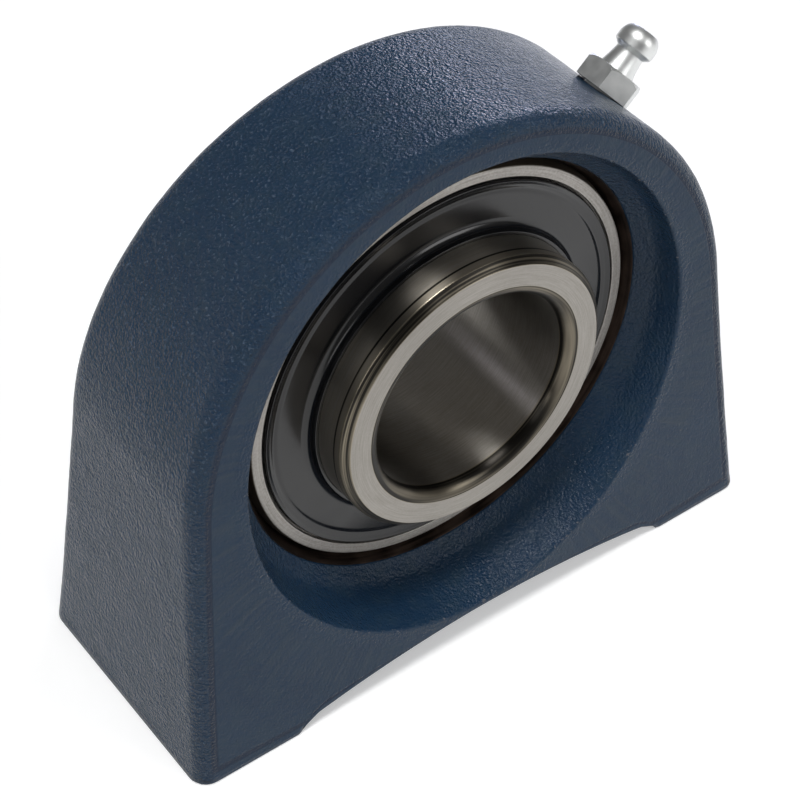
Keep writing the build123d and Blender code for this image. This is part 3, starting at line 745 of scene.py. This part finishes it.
# %% Inner ring
BORE, LAND, GROOVE, INNER_RACE = 17.5, 24.174, 5.778, 21.174  # radii
FRONT_END, REAR_END, SHOULDER_END = -17.5, 25.4, 9.0
LEAD_IN, CHAMFER = 1.9, 1.15
SCREW_AT, SCREW_HOLE, SCREW_ANGLES = 19.8, 3.05, (30.0, 150.0)
half_open = degrees(acos((INNER_RACE + GROOVE - LAND) / GROOVE))
front_lead = arc(BORE + LEAD_IN, FRONT_END + LEAD_IN, LEAD_IN, 180, 270, 10)[1:-1]
rear_lead = arc(BORE + LEAD_IN, REAR_END - LEAD_IN, LEAD_IN, 90, 180, 10)[1:-1]
inner_corners = (
    [(BORE, REAR_END - LEAD_IN), (BORE, FRONT_END + 2.3), (BORE, FRONT_END + LEAD_IN, 0, 0.95)]
    + [(r, y, 0, 0.95 - 0.015 * k) for k, (r, y) in enumerate(front_lead)]
    + [(BORE + LEAD_IN, FRONT_END, 0.06), (LAND - CHAMFER, FRONT_END, 0.08, 0.85),
       (LAND, FRONT_END + CHAMFER, 0.12, 0.4), (LAND, FRONT_END + 2.35, 0, 0.3),
       # A full-scale band from 2.4 to 2.7 mm behind the front end is painted shade: a black line where a groove
       # would be.
       (LAND, FRONT_END + 2.4, 0, 1.0), (LAND, FRONT_END + 2.7, 0, 1.0), (LAND, FRONT_END + 2.75, 0, 0.2),
       (LAND, -SHOULDER_END, 0.05, 0.2)]
    + arc(INNER_RACE + GROOVE, 0, GROOVE, 180 + half_open, 180 - half_open, 24)
    + [(LAND, SHOULDER_END, 0.05, 0.4), (LAND, REAR_END - CHAMFER, 0.12, 0.85),
       (LAND - CHAMFER, REAR_END, 0.08), (BORE + LEAD_IN, REAR_END, 0.06, 0.6)]
    + [(r, y, 0, 0.6) for r, y in rear_lead]
)
inner_mesh = turned(inner_corners, "inner_ring_turned", inner_steel)

# %% [markdown]
# ### Outer ring
# The outer ring is round both ways: its outside is part of a ball, so it can swivel in the seat,
# and a shallow groove in it passes grease to a hole between the races. Inside are the shoulders
# that the seals clip into. Only one side of the section is written down, and the other mirrors it.

# %% Outer ring
SPHERE, OUTER_RACE, SHOULDER, OUTER_HALF = 36.0, 32.326, 30.226, 9.5
OIL_FRONT, OIL_REAR, OIL_FLOOR = -5.9, -1.3, 35.5  # groove that carries the grease
half_open = degrees(acos((SHOULDER - (OUTER_RACE - GROOVE)) / GROOVE))
face_radius = sqrt(SPHERE ** 2 - OUTER_HALF ** 2)
edge = degrees(atan2(OUTER_HALF, face_radius))
side = [(SHOULDER, 6.9, 0.05), (32.026, 6.9, 0.05), (32.026, 8.1, 0.05), (31.626, 8.1, 0.06),
        (32.924, 8.6, 0.06, 0.3), (32.924, OUTER_HALF, 0.1), (face_radius, OUTER_HALF, 0.22, 0.6)]
ball = arc(0, 0, SPHERE, edge - 1, 1 - edge, 40)
groove = [(sqrt(SPHERE ** 2 - OIL_REAR ** 2), OIL_REAR), (OIL_FLOOR, OIL_REAR),
          (OIL_FLOOR, OIL_FRONT), (sqrt(SPHERE ** 2 - OIL_FRONT ** 2), OIL_FRONT)]
outside = [p for p in ball if p[1] > OIL_REAR] + groove + [p for p in ball if p[1] < OIL_FRONT]
outer_corners = (
    arc(OUTER_RACE - GROOVE, 0, GROOVE, -half_open, half_open, 24)
    + side
    + [(r, y, 0, 0.6) for r, y in outside]
    + [(r, -y, size) for r, y, size, *_ in reversed(side)]
)
outer_mesh = turned(outer_corners, "outer_ring_turned", outer_steel)

# %% [markdown]
# ### Flingers
# A flinger is a thin disc pressed on to the inner ring in front of each seal, to throw off dirt
# and water. It is blanked and drawn from strip, so its corners are all bends and its wall is
# 0.6 mm all over: the section is the line of the sheet, out along the front and back behind.

# %% Flinger section
SHEET, BEND = 0.6, 1.4
COLLAR, COLLAR_END, BEND_AT = LAND + SHEET, 11.2, 10.8
DISC, BEAD_FROM, BEAD, BEAD_WIDTH, BEAD_DEPTH = BEND_AT - BEND, 29.9, 30.174, 1.3, 0.15


def flinger_corners(side):
    """The pressed section, from the collar's end round the bend and bead to the rim and back."""
    bead = [(BEAD + BEAD_WIDTH * k / 8, DISC - BEAD_DEPTH * sin(pi * k / 8) ** 2) for k in range(9)]
    front = [(COLLAR, COLLAR_END, 0.12), (COLLAR, BEND_AT)]
    front += arc(COLLAR + BEND, BEND_AT, BEND, 180, 270, 10)[1:] + [(BEAD_FROM, DISC)] + bead
    front += [(31.6, 9.42), (31.8, 9.52), (32.324, 9.8, 0.12)]
    back = [(32.58, 9.257, 0.12), (31.95, 8.94), (31.7, 8.84)]
    back += [(r, y - SHEET) for r, y in reversed(bead)] + [(BEAD_FROM, DISC - SHEET)]
    back += arc(COLLAR + BEND, BEND_AT, BEND + SHEET, 270, 180, 10) + [(LAND, COLLAR_END, 0.12)]
    return [(r, side * y, *rest) for r, y, *rest in front + back]


print(len(flinger_corners(1)), "corners round the sheet")

# %% [markdown]
# The flingers are blackened in a hot salt bath and oiled. The black is a layer of oxide under
# oil, so it reflects like a dark varnish and not like metal: smooth, with a broad film that
# thins in places and a few grains of dust held by it.

# %% Blackened sheet
black_sheet, tree, shader, where, film = new_material(
    "blackened_pressed_steel", "#121214", 0.0, 0.2, (9.0, 3.0))
marks = around_shaft(where, 0.3, 30.0)
dust = add(tree, "TexVoronoi", {"Vector": where, "Scale": per_metre(2.4)})
tint = two_tone(film, 0.35, 0.65, "#0C0C0E", "#151517")
tint = two_tone(dust, 0.055, 0.03, tint, "#2C2C2E")
dress(shader, tint, add(tree, "MapRange", [film, 0.3, 0.7, 0.14, 0.26]), (marks, 0.002))
flingers = {name: turned(flinger_corners(side), f"{name}_flinger_pressed", black_sheet, sharp=50)
            for name, side in (("front", -1), ("rear", 1))}

# %% [markdown]
# ## Holes
# Drilled and tapped holes are cut from the finished grid, as they are from the casting. They
# could be modelled into the grid, but round holes in a square grid need much patching, and a
# boolean is exactly what a drill does. A difference keeps each tool's own surface, so a cutter
# carries the material it leaves.

# %% Cutting one mesh with another
def cut(mesh, tools, label, operation="DIFFERENCE"):
    """One solid with others taken away from it, or joined to it, or kept where they meet."""
    carrier, helpers = put(label, mesh), [put(label + "_tool", tool) for tool in tools]
    for helper in helpers:
        step = carrier.modifiers.new(label, "BOOLEAN")
        step.operation, step.object = operation, helper
        step.solver, step.material_mode = "EXACT", "TRANSFER"
    result = baked(carrier, label)
    for helper in helpers:
        bpy.data.objects.remove(helper)
    return result


def about(angle, along=0.0, out=0.0):
    """Tilt and place of an axis that leaves the shaft at an angle, so far along it and out, in mm."""
    tilt = (0, pi / 2 - radians(angle), 0)
    return tilt, (out * cos(radians(angle)) * MM, along * MM, (SHAFT_HEIGHT + out * sin(radians(angle))) * MM)


def polygon(sides, reach):
    """Corners of a regular polygon."""
    return [(reach * sin(2 * pi * k / sides), reach * cos(2 * pi * k / sides)) for k in range(sides)][::-1]


def prism(corners, low, high, label, finish, tilt=(0, 0, 0), place=(0, 0, 0)):
    """A straight prism over a flat outline, from one height to another, in mm."""
    count = len(corners)
    points = [Vector((x, y, z)) * MM for z in (low, high) for x, y in corners]
    faces = [tuple(range(count - 1, -1, -1)), tuple(range(count, 2 * count))] + strip(0, count, count)
    mesh = bpy.data.meshes.new(label)
    mesh.from_pydata(points, [], faces)
    mesh.materials.append(finish)
    turn = Matrix.Identity(4)
    for axis, angle in zip("XYZ", tilt):
        turn = Matrix.Rotation(angle, 4, axis) @ turn
    mesh.transform(Matrix.Translation(place) @ turn)
    return mesh


print("the nipple's hole leaves the shaft at", [round(v, 3) for v in about(42.0)[0]])

# %% [markdown]
# ### Threads
# The two holes under the feet are tapped M10. A thread is a helix, and a Screw modifier makes
# one, but its ends are ragged where it starts. Here a plain rod is rolled instead: a tree moves
# each point in by as much as its height and turn together say, so one tree makes any thread from
# its pitch, its depth and the run-out at its ends.

# %% The tree that rolls a thread
tree, given = new_tree("thread", {
    "Pitch": "Float", "Depth": "Float", "Run out": "Float", "Length": "Float",
    "Tilt": "Vector", "Place": "Vector", "Finish": "Material",
})
here = add(tree, "GeometryNodeInputPosition")
x, y, z = add(tree, "SeparateXYZ", [here], output=None)
turn = add(tree, "Math ARCTAN2", [y, x])
turns = add(tree, "Math DIVIDE", [turn, 2 * pi])
climbed = add(tree, "Math DIVIDE", [z, given["Pitch"]])
phase = add(tree, "Math SUBTRACT", [climbed, turns])
wave = add(tree, "Math PINGPONG", [phase, 0.5])
flank = add(tree, "MapRange", [wave, 0.06, 0.42])
rolled = add(tree, "Math MULTIPLY", [flank, given["Depth"]])
above = add(tree, "Math SUBTRACT", [given["Length"], z])
nearest = add(tree, "Math MINIMUM", [z, above])
taper = add(tree, "Math SUBTRACT", [given["Run out"], nearest])
sunk = add(tree, "Math MAXIMUM", [rolled, taper])
flat = add(tree, "CombineXYZ", {"X": x, "Y": y})
outwards = add(tree, "VectorMath NORMALIZE", [flat])
inwards = add(tree, "VectorMath SCALE", {0: outwards, "Scale": -1.0})
offset = add(tree, "VectorMath SCALE", {0: inwards, "Scale": sunk})
set_down(tree, given, add(tree, "GeometryNodeSetPosition", {"Geometry": given["Geometry"], "Offset": offset}))
thread_tree = tree
COLUMNS, ROWS = 48, 8  # points round a thread, and rows in one turn


def threaded(radius, depth, pitch, length, label, finish, tilt=(0, 0, 0), place=(0, 0, 0), run_out=0, point=0):
    """A threaded rod. A point adds a cone to its far end, so high, in mm."""
    rows = round(length / pitch * ROWS)
    angles = [2 * pi * column / COLUMNS for column in range(COLUMNS)]
    points = [(radius * cos(a), radius * sin(a), length * row / rows) for row in range(rows + 1) for a in angles]
    points = [(0, 0, 0), *points, (0, 0, length + point)]
    top = 1 + rows * COLUMNS
    faces = [(0, 1 + (c + 1) % COLUMNS, 1 + c) for c in range(COLUMNS)]
    for low in range(1, top, COLUMNS):
        faces += strip(low, low + COLUMNS, COLUMNS)
    faces += [(top + c, top + (c + 1) % COLUMNS, len(points) - 1) for c in range(COLUMNS)]
    rod = bpy.data.meshes.new(label)
    rod.from_pydata([Vector(p) * MM for p in points], [], faces)
    mesh = run_tree(rod, thread_tree, {
        "Pitch": pitch * MM, "Depth": depth * MM, "Run out": run_out * MM, "Length": length * MM,
        "Tilt": tilt, "Place": place, "Finish": finish,
    }, label)
    return face_out(mesh, 40)


print("an M10 thread gets", COLUMNS * ROWS, "points in each turn of 1.5 mm")

# %% [markdown]
# ### Drilling the casting
# Five tools go in: two taps with their drill points under the feet, the nipple's hole and its
# grease passage from above, and the pair of slots in the rear of the seat through which the
# outer ring is fed in sideways before it is swung round.

# %% Cutters for the casting
FOOT_BOLT, TAP_DEPTH, TAP_PITCH, THREAD_DEPTH, TAP_DRILL = 41.3, 20.0, 1.5, 0.75, 4.25
NIPPLE_ANGLE, NIPPLE_AT, NIPPLE_ALONG = 42.0, 47.3266, -1.5
SLOT_REACH, SLOT_HALF, SLOT_DEPTH = 36.23, 9.7, 10.32
tapped_iron = machined("tapped_cast_iron", "#5E5A55", "#7C7872", 0.45, across=0.4)
drill_point = TAP_DRILL / tan(radians(59))
cutters = [threaded(5.0, THREAD_DEPTH, TAP_PITCH, TAP_DEPTH + 0.5, "tap", tapped_iron,
                    place=(x * MM, 0, -0.5 * MM), point=drill_point) for x in (-FOOT_BOLT, FOOT_BOLT)]
tilt, place = about(NIPPLE_ANGLE, NIPPLE_ALONG)
for label, radius, low, high in (("nipple_hole", 3, 40.8, 48), ("passage", 1.5, 35, 42)):
    cutters.append(prism(polygon(64, radius), low, high, label, tapped_iron, tilt, place))
slot_turn = degrees(asin(SLOT_HALF / SLOT_REACH))
slot = arc(0, 0, SLOT_REACH, -slot_turn, slot_turn, 40)
slot += [(-x, -y) for x, y in slot]
cutters.append(prism(slot, -SLOT_DEPTH, 0, "loading_slots", bored_iron, (pi / 2, 0, 0), CENTRE))
casting = cut(casting, cutters, "casting")
as_piece(face_out(casting), "housing_casting", "housing", "housing")

# %% [markdown]
# ## Grease nipple
# The nipple is turned from hexagon bar and zinc plated. The bar's flats are left between the
# thread and the neck, with their top corners bevelled by the same turning, so the hexagon is
# what a prism and a flat cone have in common, and the neck and head are joined to it. Bright
# zinc is an even, slightly cool mirror gone a little soft, and shows handling as faint clouds.

# %% Zinc plate
def clouded(name, base, metallic, roughness, noises, tones, gloss, depth):
    """A finish whose colour and gloss follow its first noise, and its relief the last, so deep in mm."""
    material, tree, shader, _, *noises = new_material(name, base, metallic, roughness, *noises)
    hazy = add(tree, "MapRange", [noises[0], *gloss])
    dress(shader, two_tone(noises[0], *tones), hazy, (noises[-1], depth))
    return material


zinc = clouded("bright_zinc_plate", "#D3D5D4", 1.0, 0.27, [(1.6, 2.0), (0.5, 2.0)],
               (0.3, 0.7, "#DEE0DF", "#E6E7E6"), (0.3, 0.7, 0.36, 0.44), 0.0012)
print(zinc.name)

# %% Hexagon, neck and head
tilt, place = about(NIPPLE_ANGLE, NIPPLE_ALONG, NIPPLE_AT)
ACROSS, HEX_HEIGHT, BEVEL = 8.8, 3.2, 0.6
corner_reach = ACROSS / 2 / cos(pi / 6)
hexagon = prism(polygon(6, corner_reach), -0.5, HEX_HEIGHT, "hexagon", zinc, tilt, place)
cone = turned([(0.8, -1), (corner_reach + 0.3, -1), (corner_reach + 0.3, HEX_HEIGHT - 1.4 * BEVEL),
               (ACROSS / 2 - 0.2, HEX_HEIGHT + 0.2), (0.8, HEX_HEIGHT + 0.2)], "bevel", zinc, tilt, place, 96)
hexagon = cut(hexagon, [cone], "hexagon", "INTERSECT")

TIP, MOUTH_LOW, SPRING_SEAT = 10.4, 10.0, 4.762  # above the hexagon's foot
MOUTH, SPRING_BORE, THREAD = 0.75, 1.15, 3.0  # radii
nipple_corners = (
    [(MOUTH, -6.0, 0.05), (2.6, -6.0, 0.05), (THREAD, -5.5, 0.1), (THREAD, 0.2, 0.05)]
    + [(2.9, 3.1), (2.72, 3.9), (2.55, 4.7), (2.42, 5.5), (2.33, 6.1)]
    + [(2.3, 6.45, 0.08), (3.25, 7.2, 0.12)]
    + arc(0.5, 8.2, 2.75, 0, 52, 12)
    + [(2.15, TIP, 0.1), (MOUTH, TIP, 0.06), (MOUTH, MOUTH_LOW, 0.03), (SPRING_BORE, MOUTH_LOW, 0.03),
       (SPRING_BORE, SPRING_SEAT, 0.03), (MOUTH, SPRING_SEAT, 0.03)]
)
neck = turned(nipple_corners, "neck", zinc, tilt, place, 128)
nipple = cut(hexagon, [neck], "nipple_body_turned", "UNION")
as_piece(face_out(nipple, 25), "nipple_body_turned", "housing", "nipple_body")

# %% [markdown]
# ## Grub screws
# Two M6 grub screws lock the inner ring on the shaft. They are rolled from alloy steel and
# blackened, with a hexagon socket outside and a cup point that bites into the shaft. The thread
# tree rolls the rod, and two cutters do what a broach and a lathe did. Black oxide on a rolled
# thread is a soft dark grey, a little bare where a key has turned.

# %% Blackened alloy steel
black_alloy = clouded("black_oxide_alloy_steel", "#3A3A3C", 1.0, 0.38, [(1.1, 4.0)],
                      (0.45, 0.75, "#2E2E31", "#5E5C5A"), (0.3, 0.7, 0.3, 0.5), 0.01)
SCREW_POINT, SCREW_LENGTH, KEY, KEY_DEPTH, CUP, CUP_DEPTH = 17.85, 6.0, 3.0, 3.0, 1.5, 0.7
for number, angle in enumerate(SCREW_ANGLES, 1):
    tilt, place = about(angle, SCREW_AT, SCREW_POINT)
    stud = threaded(3.0, 0.5, 1.0, SCREW_LENGTH, "stud", black_alloy, tilt, place, run_out=0.5)
    socket = prism(polygon(6, KEY / 2 / cos(pi / 6)), SCREW_LENGTH - KEY_DEPTH, SCREW_LENGTH + 1, "socket",
                   black_alloy, tilt, place)
    cup = turned([(0.01, -0.3), (CUP + 0.3, -0.3), (CUP - CUP_DEPTH, CUP_DEPTH), (0.01, CUP_DEPTH)], "cup",
                 black_alloy, tilt, place, 48)
    name = f"grub_screw_{number}"
    as_piece(face_out(cut(stud, [socket, cup], name), 40), name + "_rolled", name, name)

# %% [markdown]
# ## Rings on their bodies
# The inner ring has two threaded holes for the grub screws, so it is drilled before it takes its
# node's place. The outer ring and the flingers need no more work. Each rides on the body that
# carries it in the bearing: the flingers are pressed on the inner ring, so they spin with it.

# %% Drill the inner ring and hand over the turned pieces
drills = [prism(polygon(64, SCREW_HOLE - 0.01), 10, 30, "drill", inner_steel, *about(angle, SCREW_AT))
          for angle in SCREW_ANGLES]
inner_mesh = face_out(cut(inner_mesh, drills, "inner_ring_turned"))
as_piece(inner_mesh, "inner_ring_ground", "insert_inner", "inner_ring")
as_piece(outer_mesh, "outer_ring_ground", "insert_outer", "outer_ring")
for name, mesh in flingers.items():
    as_piece(mesh, f"{name}_flinger_pressed", "insert_inner", f"{name}_flinger")

# %% [markdown]
# ## Pieces that keep their construction shape
# Balls, cage, seals, check ball and spring are sealed inside. Their construction shapes are
# right, so nothing is remodelled, and each only gets the material it is really made of: lapped
# steel, glass-filled polyamide, nitrile rubber, phosphated washers and drawn wire.

# %% Materials of the hidden pieces
# Lapping leaves a mirror with a haze; glass fibre shows as pale streaks under natural polyamide;
# wax blooms on black rubber; a drawing die scratches wire one way.
finishes = {"washer": machined("phosphated_washer_steel", "#55585C", "#74777B", 0.45)}
for word, name, metallic, roughness, dull, bright, size, detail, depth in (
        ("ball", "lapped_chromium_steel", 1.0, 0.07, "#BDBDBB", "#D2D2D0", 0.7, 4.0, 0.0005),
        ("cage", "glass_filled_polyamide", 0.0, 0.42, "#CFC3A6", "#E0D7C2", 0.6, 3.0, 0.01),
        ("lip", "moulded_nitrile_rubber", 0.0, 0.55, "#151516", "#2A2A2B", 2.4, 3.0, 0.01),
        ("spring", "drawn_spring_wire", 1.0, 0.3, "#77777A", "#9C9C9E", 0.12, 3.0, 0.002)):
    finishes[word] = clouded(name, bright, metallic, roughness, [(size, detail)], (0.35, 0.7, dull, bright),
                             (0.35, 0.7, roughness * 0.8, roughness * 1.4), depth)
shader = finishes["cage"].node_tree.nodes["Principled BSDF"]
feed(shader, {"Subsurface Weight": 0.15, "Subsurface Scale": 1.5 * MM})
for name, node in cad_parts.items():
    word = "ball" if "ball" in name else name.split("_")[-1]
    if word in finishes:
        node.data.materials.clear()
        node.data.materials.append(finishes[word])
print({word: material.name for word, material in finishes.items()})

# %% [markdown]
# ## Floor and light
# A block like this is shown on white paper under large soft lamps, so that the paint keeps its
# own colour. The lamps could be made strong enough to burn the paper out, but that would bleach
# the block too. So they stay at a plain level, and the paper adds the little that it lacks of
# white only where it is looked at, straight, in a reflection or through glass. Its shadow stays.
# The cool lamp stands low behind the right side, where it draws out the pebbles of the dome.

# %% Paper
WHITENING = 0.36  # light that the paper adds to its own
bpy.ops.mesh.primitive_plane_add(size=6, location=(0, 0, -0.05 * MM))
floor = bpy.context.object
floor.name = "floor"
paper = bpy.data.materials.new("white_paper_backdrop")
paper.use_nodes = True
tree = paper.node_tree
where = add(tree, "TexCoord", output="Object")
fibre = add(tree, "TexNoise", {"Vector": where, "Scale": per_metre(1.5), "Detail": 2.0})
rays = add(tree, "LightPath", output=None)
seen = add(tree, "Math MAXIMUM", [rays["Is Camera Ray"], rays["Is Glossy Ray"]])
seen = add(tree, "Math MAXIMUM", [seen, rays["Is Transmission Ray"]])
feed(tree.nodes["Principled BSDF"], {
    "Base Color": two_tone(fibre, 0.3, 0.7, "#E8E8E8", "#EBEBEB"), "Roughness": 0.9,
    "Emission Color": "#FFFFFF", "Emission Strength": add(tree, "Math MULTIPLY", [seen, WHITENING]),
})
floor.data.materials.append(paper)
print(floor.name, "of", paper.name)

# %% World and lamps
world = bpy.data.worlds.new("studio")
scene.world = world
world.use_nodes = True
feed(world.node_tree.nodes["Background"], {"Color": "#FFFFFF", "Strength": 0.16})


def softbox(name, place, size, power, tint="#FFFFFF"):
    """A square lamp aimed at the insert."""
    lamp = bpy.data.lights.new(name, "AREA")
    lamp.shape = "SQUARE"
    lamp.size, lamp.energy, lamp.color = size, power, colour(tint)[:3]
    holder = put(name, lamp)
    holder.location = place
    holder.rotation_euler = (Vector(CENTRE) - holder.location).to_track_quat("-Z", "Y").to_euler()


softbox("overhead", (-0.05, -0.1, 0.9), 0.27, 4.7)
softbox("left", (-0.85, -0.25, 0.4), 0.5, 1.7)
softbox("front_right", (0.5, -0.85, 0.45), 0.5, 2.6)
softbox("low_behind", (0.78, 0.57, 0.16), 0.3, 2.9, "#E2E6FF")
scene.view_settings.view_transform = "Standard"
print([f"{lamp.name} {lamp.energy:.1f} W" for lamp in bpy.data.lights])
